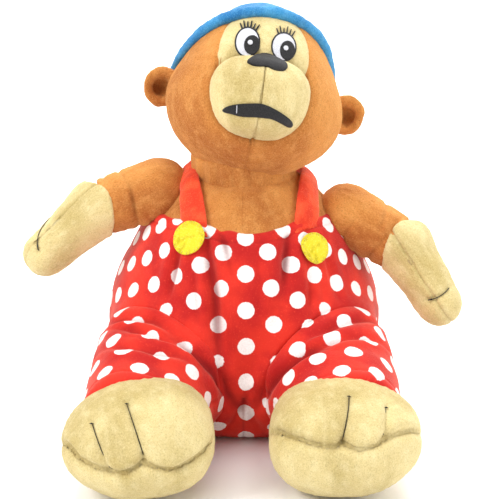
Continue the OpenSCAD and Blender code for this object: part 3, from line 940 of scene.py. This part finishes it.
def muzzle_half(p, s):
    half = meet(muzzle(p), 0.03 - s * p[:, 0], 0.5)
    if s > 0:
        half = np.minimum(half, muzzle(p) + 0.5)
    return meet(half, p[:, 1] + 30, 1)


def under_mask(p):
    """The head, a little lower where the mask lies on it."""
    return head_ball(p) + 0.45 * ease((1.0 - mask_edge(p)) / 1.4) * ease((-p[:, 1] - 5) / 5)


def head_shell(p, base, region):
    """A fabric shell on the base, where the region is below zero."""
    return meet(meet(base(p), region, 0.7), -base(p) - 9, 1)


def head_side(p, s):
    """A side panel; the left one is backed by the whole stuffed head."""
    if s < 0:
        return head_shell(p, under_mask, head_side_region(p, s))
    return np.minimum(meet(under_mask(p), head_side_region(p, s), 0.7), under_mask(p) + 0.25)


def build_head():
    for side, s in SIDES.items():
        sculpt(f"head_{side}_panel", "head", "brown_plush", lambda p: head_side(p, s), *HEAD_SPAN, 2.4,
               HEAD_FRAME, head_detail, fill=0.85, inside=["head_stuffing"] if s > 0 else [])
    sculpt("head_back_panel", "head", "brown_plush", lambda p: head_shell(p, under_mask, head_back_region(p)),
           *HEAD_SPAN, 2.4, HEAD_FRAME, head_detail, fill=0.85)
    sculpt("eye_mask_panel", "head", "beige_plush",
           lambda p: meet(head_shell(p, head_ball, mask_edge(p)), p[:, 1] + 6, 1),
           (-36, -62, -14), (36, 0, 62), 2.0, HEAD_FRAME, head_detail, nap=0.2, fill=0.85)
    for side, s in SIDES.items():
        sculpt(f"muzzle_{side}_panel", "head", "beige_plush", lambda p: muzzle_half(p, s), (-38, -78, -33),
               (38, -26, 28), 1.8, HEAD_FRAME, muzzle_detail, nap=0.2, fill=0.85,
               inside=["muzzle_stuffing"] if s > 0 else [])


# Embroidery outlines, seen from in front; the nose is seen from above by its tilt.
NOSE = rounded([(-13.2, -23.8), (-9.9, -18.6), (-5.4, -12.2), (-1.3, -10.0), (4.5, -10.9), (9.0, -14.8),
                (13.5, -17.8), (14.6, -22.6), (11.8, -27.8), (5.0, -28.4), (0.6, -26.0), (-3.8, -27.2),
                (-8.8, -26.9)])
NOSE_TILT = math.radians(35)
MOUTH = rounded([(-23.8, -15.9), (-21.4, -13.2), (-15.2, -10.8), (-8.3, -9.3), (-0.3, -8.0), (4.9, -8.8),
                 (12.7, -11.3), (20.9, -15.1), (23.8, -18.2), (22.4, -20.6), (18.8, -20.1), (9.5, -16.9),
                 (3.3, -17.0), (-1.8, -17.3), (-10.9, -18.5), (-17.2, -17.6), (-22.2, -17.3)])
# Ovals are their middle across and up, their width and their height.
EYES = {"right": (-13.1, 31.0, 15.4, 20.0), "left": (11.0, 31.6, 16.2, 19.0)}
PUPILS = {"right": (-10.0, 29.4, 10.4, 13.4), "left": (13.6, 29.5, 10.4, 13.4)}
HIGHLIGHT_R = 1.7
HIGHLIGHT = {"right": (-11.3, 30.8), "left": (12.3, 30.8)}
OUTLINE_WIDTH = 1.0


def oval_edge(p, oval):
    x, z, w, h = oval
    q = np.hypot((p[:, 0] - x) / (w / 2), (p[:, 2] - z) / (h / 2))
    return (q - 1) * min(w, h) / 2


def nose_edge(p):
    x, y, z = p.T
    return polygon_distance(x, z * math.cos(NOSE_TILT) + y * math.sin(NOSE_TILT), NOSE)


def mouth_edge(p):
    return polygon_distance(p[:, 0], p[:, 2], MOUTH)


def outline_edge(p):
    return np.minimum(*(np.abs(oval_edge(p, EYES[side])) - OUTLINE_WIDTH / 2 for side in SIDES))


def highlight_edge(p):
    return np.minimum(*(np.hypot(p[:, 0] - x, p[:, 2] - z) - HIGHLIGHT_R for x, z in HIGHLIGHT.values()))


def lash_lines(side):
    """Six lashes that fan out above an eye, from inside to outside."""
    x, z, w, h = EYES[side]
    lines = []
    for i, a in enumerate(np.linspace(122, 56, 6)):
        c, s = math.cos(math.radians(a)), math.sin(math.radians(a))
        base = np.array([x + (w / 2 + 0.4) * c, z + (h / 2 + 0.4) * s])
        lean = math.radians(a + (90 - a) * 0.25)
        length = 4.6 if i % 2 else 3.7
        lines.append((base, base + length * np.array([math.cos(lean), math.sin(lean)])))
    return lines


def lash_edge(p):
    best = np.full(len(p), 99.0)
    for side in SIDES:
        for line in lash_lines(side):
            d, t = path_distance(p[:, [0, 2]], line)
            best = np.minimum(best, d - (0.62 - 0.25 * t) * (1 if side == "right" else 0.8))
    return best


def face(p):
    return join(head_ball(p), muzzle(p), 1.5)


def embroider(name, slot, base, edge, lift, low, high, step=0.8, soft=0.7):
    """Raised thread: the fabric's own field lifted a little, inside an outline."""
    def field(p):
        body = meet(base(p) - lift, edge(p), soft)
        return meet(body, -base(p) - 0.6, 0.3)
    sculpt(name, "head", slot, field, low, high, step, HEAD_FRAME, nap=0.05)


def build_face():
    embroider("nose", "black_thread", face, nose_edge, 1.1, (-16, -74, 8), (18, -42, 34))
    embroider("mouth", "black_thread", muzzle, mouth_edge, 1.0, (-27, -78, -24), (27, -52, -5))
    tick, normal = settle(muzzle, np.linspace((-14.0, -70, -10.9), (-13.8, -70, -16.2), 9), 8, 4)
    threads("mouth_tick", "head", "white_thread", [(tick + 1.15 * normal, 0.32)], HEAD_FRAME)
    for side in SIDES:
        x, z, w, h = EYES[side]
        box = (x - w / 2 - 2, -62, z - h / 2 - 2), (x + w / 2 + 2, -34, z + h / 2 + 2)
        for name, slot, oval, lift in (("_eye_white", "white_thread", EYES[side], 0.7),
                                       ("_pupil", "black_thread", PUPILS[side], 1.15)):
            embroider(side + name, slot, head_ball, lambda p: oval_edge(p, oval), lift, *box)
    box = (-24, -62, 18), (23, -30, 52)
    embroider("eye_outlines", "black_thread", head_ball, outline_edge, 0.95, *box, 0.6, 0.4)
    embroider("eye_highlights", "white_thread", head_ball, highlight_edge, 1.5, *box, 0.6, 0.5)
    embroider("eyelashes", "black_thread", head_ball, lash_edge, 0.8, *box, 0.6, 0.35)


EAR_AT = np.array([63.5, 3, -4.5])


def build_ears():
    for side, s in SIDES.items():
        at = EAR_AT * [s, 1, 1]

        def field(p):
            pad = squircle(p, at + [s * 0.5, 1.5, -0.5], np.array([12.0, 6.8, 12.5]), 2.2)
            cup = squircle(p, at + [s * 1.5, -6.2, -1.2], np.array([8.2, 8.0, 8.2]), 2.1)
            x, y, z = (p - at - [s * 0.3, -3.2, -0.4]).T
            rim = np.hypot(np.hypot(x, z * 0.96) - 9.4, y + 0.28 * z + 0.018 * x ** 2) - 3.1 - 0.06 * z
            return join(meet(pad, -cup, 2.0), rim, 3)

        def detail(p):
            depth = np.linalg.norm((p - at - [s * 1.5, -2.5, -1]) / [8.5, 7.5, 8.5], axis=-1)
            inside = ease(1 - depth ** 2)
            rim = bump(p[:, 1] - at[1] - 3, 1.2)
            # Painted light on the upper half of the ear by the tone, and painted shade in the cup and along
            # the rim by the crease.
            tone = 0.08 * ease((p[:, 2] - at[2]) / 9)
            return 0.7 * noise(p, 6, 51) - 0.5 * rim, 0.55 * inside + 0.3 * rim, tone
        sculpt(side + "_ear", side + "_ear", "brown_plush", field, at - [16, 10, 16], at + [16, 10, 16], 1.5,
               HEAD_FRAME, detail, nap=0.3, fill=0.4)


CAP_PLANE = 26
CAP_R = HEAD_R + 2.4
ROLL_R = 4.1
ROLL_RING = math.sqrt(HEAD_R ** 2 - CAP_PLANE ** 2) + ROLL_R
GORES = 6


def on_ball(p):
    """Points of the cap where they would be if the head were a plain ball, so that the cap fits the head."""
    turn, origin = HEAD_FRAME
    cap_turn, cap_origin = CAP_FRAME
    q = as_ball((p @ cap_turn.T + cap_origin - origin) @ turn)
    return (q @ turn.T + origin - cap_origin) @ cap_turn


def crown_field(p):
    p = on_ball(p)
    puff = 1.3 * np.abs(np.sin(GORES / 2 * bearing(p))) ** 0.6 * ease((58 - p[:, 2]) / 20)
    body = np.linalg.norm(p * [1, 1, 1.02], axis=-1) - CAP_R - puff
    body = meet(body, CAP_PLANE - 2 - p[:, 2], 1.0)
    return meet(body, -(np.linalg.norm(p, axis=-1) - HEAD_R + 5), 1)


def crown_detail(p):
    seam = bump(np.sin(GORES / 2 * bearing(p)) * radius(p) / GORES * 2, 1.2)
    # The crease is painted shade along the seams between the gores.
    return 0.6 * noise(p, 14, 61) - 0.6 * seam, 0.5 * seam


def roll_field(p):
    p = on_ball(p)
    return np.hypot(radius(p) - ROLL_RING, p[:, 2] - CAP_PLANE + ROLL_R) - ROLL_R


def roll_detail(p):
    gathers = np.sin(46 * bearing(p) + 3 * noise(p, 15, 71))
    p = on_ball(p)
    stitch = bump(p[:, 2] - CAP_PLANE + 0.6, 0.7) * (radius(p) > ROLL_RING)
    # The crease is painted shade along the stitched line.
    return 0.1 * gathers + 0.45 * noise(p, 12, 72) - 0.3 * stitch, 0.15 * stitch


def build_cap():
    sculpt("cap_crown", "head", "blue_plush", crown_field, (-66, -66, 20), (66, 66, 66), 2.4, CAP_FRAME,
           crown_detail, fill=0.3)
    sculpt("cap_rolled_edge", "head", "blue_plush", roll_field, (-66, -66, 15), (66, 66, 30), 1.7, CAP_FRAME,
           roll_detail, fill=0.5)


# ---------- arms, hands and feet ----------

SLEEVE_R = 22.3
CUFF_R = 19.2
HAND_R = 20.2
HAND_TIP_R = 16.3
HAND_LEN = 63
ARM_LEN = {s: np.linalg.norm(WRIST[s] - SHOULDER[s]) for s in SIDES}
ARM_FRAME = {s: (along(WRIST[s] - SHOULDER[s]), SHOULDER[s]) for s in SIDES}
HAND_FRAME = {s: (along(HAND_WAY[s], unit(WRIST[s] - SHOULDER[s])), WRIST[s]) for s in SIDES}
# Folds round the sleeve: the way each one faces, in radians, and its place down the arm.
SLEEVE_FOLDS = ((1.0, 10), (2.2, 17), (4.4, 23), (0.2, 31))
# Directions round each hand, in degrees: the middle of the palm panel, the sewn line's places with their
# heights, and the side where the hand's fabric lies over the sleeve.
PALM_WAY = {"left": 110, "right": -60}
SEWN_LINE = {"left": [(150, 43), (172, 45.5), (192, 46), (216, 43)],
             "right": [(84, 24), (66, 36), (44, 44), (6, 50)]}
FACING = {"left": 190, "right": -7}


def sleeve_cone(p, side):
    return cone(p, (0, 0, 0), (0, 0, ARM_LEN[side]), SLEEVE_R, CUFF_R)


def sleeve_detail(p):
    angle = bearing(p)
    seam = bump((angle + 1.2) * 20, 1.1)
    rings = sum(bump(p[:, 2] - z - 4 * np.sin(angle + k), 1.8) * ease(0.5 - 0.7 * np.cos(angle - k))
                for k, z in SLEEVE_FOLDS)
    # Painted light on the top of the sleeve and painted shade underneath, by the tone; the crease is painted
    # shade in the fold rings and the seam.
    tone = 0.08 * ease(p[:, 1] / 14) - 0.16 * ease(-p[:, 1] / 12)
    return 0.7 * noise(p, 14, 81) - 1.4 * rings - 0.5 * seam, 0.35 * rings + 0.35 * seam, tone


def palm_side(p, side):
    """Above zero on the palm panel, and zero at the seam between the hand's two panels."""
    way = math.radians(PALM_WAY[side])
    return p[:, 0] * math.cos(way) + p[:, 1] * math.sin(way)


def hand_field(p, side):
    """A mitten, with fabric that runs up over the sleeve in a lobe on each face."""
    turn, origin = HAND_FRAME[side]
    arm_turn, arm_origin = ARM_FRAME[side]
    q = (p @ turn.T + origin - arm_origin) @ arm_turn
    body = cone(p * [1.0, 1.03, 1.0], (0, 0, 0), (0, 0, HAND_LEN - HAND_TIP_R), HAND_R, HAND_TIP_R)
    lobe = np.cos(bearing(p) - math.radians(FACING[side])) ** 2
    edge = -2 - 10 * lobe - (0.4 * p[:, 2] + 0.6 * (q[:, 2] - ARM_LEN[side]))
    skin = meet(sleeve_cone(q, side) - 0.9, edge, 2.0)
    skin = meet(skin, p[:, 2] - 14, 3)
    return meet(join(body, skin, 4), edge, 2.0)


def sewn_line(side):
    """The line of thread that marks the fingers, drawn a little into the pile."""
    angles, heights = np.array(SEWN_LINE[side]).T
    places = np.stack([18 * np.cos(np.radians(angles)), 18 * np.sin(np.radians(angles)), heights], -1)
    path, normal = settle(lambda p: hand_field(p, side), bezier(places, 36), 6, 4)
    return path - 0.75 * normal


def hand_panel(p, side, way):
    whole = hand_field(p, side)
    part = meet(whole, -way * palm_side(p, side) + 0.03, 0.7)
    return np.minimum(part, whole + 0.5) if way < 0 else part


def build_arms():
    for side in SIDES:
        length = ARM_LEN[side]
        sculpt(side + "_sleeve", side + "_arm", "brown_plush",
               lambda p: meet(sleeve_cone(p, side), p[:, 2] - length + 5, 3.0), (-26, -26, -26),
               (26, 26, length + 6), 2.2, ARM_FRAME[side], sleeve_detail, nap=0.3, fill=0.8,
               inside=[side + "_arm_stuffing"])
        thread = sewn_line(side)

        def detail(p):
            seam = bump(palm_side(p, side), 1.2)
            groove = bump(path_distance(p, thread)[0], 1.8) + 0.5 * spot(p, thread[-1], 3.5)
            # The tone is darker towards the wrist; the crease is painted shade along the seam and the sewn
            # line.
            tone = 0.04 - 0.12 * spot(p, (0, 0, 20), 26)
            return 0.9 * noise(p, 14, 91) - 0.6 * seam - 1.4 * groove, 0.3 * seam + 0.3 * groove, tone
        for name, way in (("_hand_back_panel", -1), ("_hand_palm_panel", 1)):
            sculpt(side + name, side + "_hand", "beige_plush", lambda p: hand_panel(p, side, way),
                   (-32, -32, -34), (32, 32, HAND_LEN + 4), 2.2, HAND_FRAME[side], detail, nap=0.3, fill=0.8,
                   inside=[side + "_hand_stuffing"] if way < 0 else [])
        threads(side + "_finger_stitches", side + "_hand", "black_thread",
                [(thread, 0.3), (thread[-7:], 0.5)], HAND_FRAME[side])


# For each foot, the crease between upper and sole, and the toe lines, each point being its place across the
# foot and its degrees round it.
CREASE = {"right": [(-50, 225), (-40, 245), (-33, 264), (-17, 277), (-5, 275), (6, 268), (15, 276), (24, 282),
                    (50, 276)],
          "left": [(-50, 228), (-36, 243), (-24, 250), (-9, 254), (-4, 250), (6, 256), (16, 253), (24, 245),
                   (50, 228)]}
TOES = {"right": [[(-1.5, 206), (1.9, 226), (5.1, 246), (6.4, 262)],
                  [(-26, 219), (-23, 241), (-19.6, 262), (-17, 274)]],
        "left": [[(0.9, 200), (0.4, 218), (-2.0, 235), (-4.0, 247)],
                 [(25.5, 208), (25.4, 219), (24.8, 231), (24, 242)]]}
SOLE_BACK = 110
FOOT_POWER = 2.5


def foot_body(p, side):
    """A pillow turned about its own width, that narrows towards its outer side."""
    x, y, z = p.T
    r = np.hypot(y, z) / (1.01 - 0.17 * ease((SIDES[side] * x - 4) / 42))
    q = ((np.abs(x) / FOOT_HALF) ** FOOT_POWER + (r / FOOT_R) ** FOOT_POWER) ** (1 / FOOT_POWER)
    return (q - 1) * FOOT_R * 0.95


def foot_angle(p):
    """Round the foot in degrees: 0 below, 90 behind, 180 above, 270 in front."""
    return np.degrees(np.arctan2(p[:, 1], -p[:, 2])) % 360


def foot_split(p, side):
    """Below zero on the upper, above zero on the sole."""
    angle = foot_angle(p)
    crease = np.interp(p[:, 0], *np.array(CREASE[side], float).T)
    reach = np.radians(1) * np.maximum(np.hypot(p[:, 1], p[:, 2]), 3)
    return np.maximum(angle - crease, SOLE_BACK - angle) * reach


def toe_line(toe, side):
    """Points on the foot along one toe line, and the outward normals there."""
    x, a = bezier(toe, 30).T
    r = FOOT_R * np.clip(1 - (np.abs(x) / FOOT_HALF) ** FOOT_POWER, 0.01, 1) ** (1 / FOOT_POWER)
    path = np.stack([x, r * np.sin(np.radians(a)), -r * np.cos(np.radians(a))], -1)
    return settle(lambda p: foot_body(p, side), path, 6, 4)


def toe_threads(path, normal):
    """A thread that runs deeper towards the crease, and the knot at its upper end."""
    depth = 1.8 + 1.9 * np.linspace(0, 1, len(path))
    knot = path[1] - normal[1] * 1.2
    return [(path - normal * depth[:, None], 0.28),
            ([knot + [-1.3, 0, 0.2], knot + [0, -0.4, 0.4], knot + [1.3, 0.1, -0.3]], 0.5)]


def build_feet():
    for side in SIDES:
        place = (rotation("Y", FOOT_ROLL[side]), FOOT[side])
        lines = [toe_line(toe, side) for toe in TOES[side]]

        def whole(p):
            return meet(foot_body(p, side), FLOOR_GAP - (p @ place[0].T + place[1])[:, 2], 3)

        def detail(p):
            split = foot_split(p, side)
            front = ease((-p[:, 1] - 2) / 16)
            under = bump(np.minimum(split, 0) + 4, 7) * front
            dimple = spot(p, lines[0][0][-1], 6) * front
            height = 0.9 * noise(p, 20, 101) - 3.4 * bump(split, 3.2) * front - 0.6 * bump(split, 1.5)
            height += 1.4 * under - 1.6 * dimple
            crease = 0.4 * bump(split - 1, 2.4) * front + 0.25 * dimple
            for path, _ in lines:
                d, t = path_distance(p, path)
                height -= (1.3 + 2.0 * t) * bump(d, 3.8) + 0.9 * bump(d, 1.2)
                crease += 0.4 * bump(d, 1.0)
            # The tone is lighter on the sole and darker on the upper towards its top and back; the crease is
            # painted shade where upper meets sole, in the dimple and along the toe lines.
            tone = 0.1 * ease(split / 6) - 0.12 * ease((215 - foot_angle(p)) / 30) * (split < 0)
            return height, crease, tone

        def field(p, way):
            part = meet(whole(p), way * foot_split(p, side) + 0.03, 0.7)
            return meet(part, -whole(p) - 9, 1) if way < 0 else np.minimum(part, whole(p) + 0.3)
        for name, way in (("_foot_upper", 1), ("_foot_sole", -1)):
            sculpt(side + name, side + "_foot", "beige_plush", lambda p: field(p, way), (-51, -41, -41),
                   (51, 41, 41), 2.4, place, detail, nap=0.35, fill=0.85,
                   inside=[side + "_foot_stuffing"] if way > 0 else [])
        threads(side + "_toe_stitches", side + "_foot", "black_thread",
                [thread for line in lines for thread in toe_threads(*line)], place)


def build_legs():
    for side, s in SIDES.items():
        hip, end = HIP[side], LEG_END[side]
        way = unit(end - hip)

        def field(p):
            owned = ease((1.5 + owned_by_leg(p)) / 4)
            cover = meet(clothed(p), leg(p, side) - 4, 2) + 1.8 * owned
            return meet(cover, (p - end) @ way - 6, 2.5)

        def detail(p):
            hem = bump((p - end) @ way, 0.9)
            inner = bump(p[:, 2] - hip[2], 1.5) * ((p[:, 0] - hip[0]) * s < 0)
            height, crease = folds(p, FOLDS)
            height = height - 0.7 * hem - 0.5 * inner + 0.5 * noise(p, 19, 5) + fullness(p)
            # The crease is painted shade along the folds, the hem and the inner seam.
            return height, crease + 0.4 * hem + 0.4 * inner
        low, high = np.minimum(hip, end) - 50, np.maximum(hip, end) + 50
        low[2] = -3
        sculpt(side + "_trouser_leg", ("torso", side + "_leg", hip + [0, 4, 0], hip - [0, 46, 0]),
               "dotted_fabric", field, low, high, detail=detail, nap=0.08, dots=DOTS, fill=0.8,
               inside=[side + "_leg_stuffing"])


# ---------- studio ----------

# Each lamp's place and size, in metres, and its power in watts.
LAMPS = {"key": ((-1.1, -0.7, 1.2), 0.7, 20), "fill": ((1.2, -0.5, 0.7), 1.0, 9),
         "back": ((0.3, 1.2, 1.2), 1.2, 34), "top": ((0, -0.1, 1.9), 1.6, 18)}
LAMPS_AIM = Vector((0, -0.03, 0.13))


def build_studio():
    scene = bpy.context.scene
    floor = new_object("floor", [(-6, -6, 0), (6, -6, 0), (6, 6, 0), (-6, 6, 0)], [(0, 1, 2, 3)])
    material = bpy.data.materials.new("floor")
    material.use_nodes = True
    shader = material.node_tree.nodes["Principled BSDF"]
    shader.inputs["Base Color"].default_value = (0.95, 0.95, 0.95, 1)
    shader.inputs["Roughness"].default_value = 0.9
    floor.data.materials.append(material)
    for name, (at, size, power) in LAMPS.items():
        lamp = bpy.data.lights.new(name, "AREA")
        lamp.energy = power
        lamp.size = size
        obj = bpy.data.objects.new(name, lamp)
        obj.location = at
        obj.rotation_euler = (LAMPS_AIM - Vector(at)).to_track_quat("-Z", "Y").to_euler()
        scene.collection.objects.link(obj)
    world = bpy.data.worlds.new("studio")
    world.use_nodes = True
    world.node_tree.nodes["Background"].inputs["Color"].default_value = (1, 1, 1, 1)
    world.node_tree.nodes["Background"].inputs["Strength"].default_value = 0.55
    scene.world = world
    scene.view_settings.view_transform = "Standard"


AIM = Vector((0.004, -0.040, 0.125))
CAMERA_TILT = math.radians(20)
CAMERA_FAR = 1.0
SENSOR = 36.0
FOCAL_PIXELS = 1470
PICTURE = 499


def build_camera():
    data = bpy.data.cameras.new("camera")
    data.sensor_width = SENSOR
    data.lens = SENSOR * FOCAL_PIXELS / PICTURE
    data.clip_end = 50
    camera = bpy.data.objects.new("camera", data)
    camera.location = AIM + CAMERA_FAR * Vector((0, -math.cos(CAMERA_TILT), math.sin(CAMERA_TILT)))
    camera.rotation_euler = (AIM - camera.location).to_track_quat("-Z", "Y").to_euler()
    bpy.context.scene.collection.objects.link(camera)
    bpy.context.scene.camera = camera


build_studio()
build_camera()
build_torso()
build_chest()
build_straps()
build_neck()
build_head()
build_face()
build_ears()
build_cap()
build_arms()
build_legs()
build_feet()
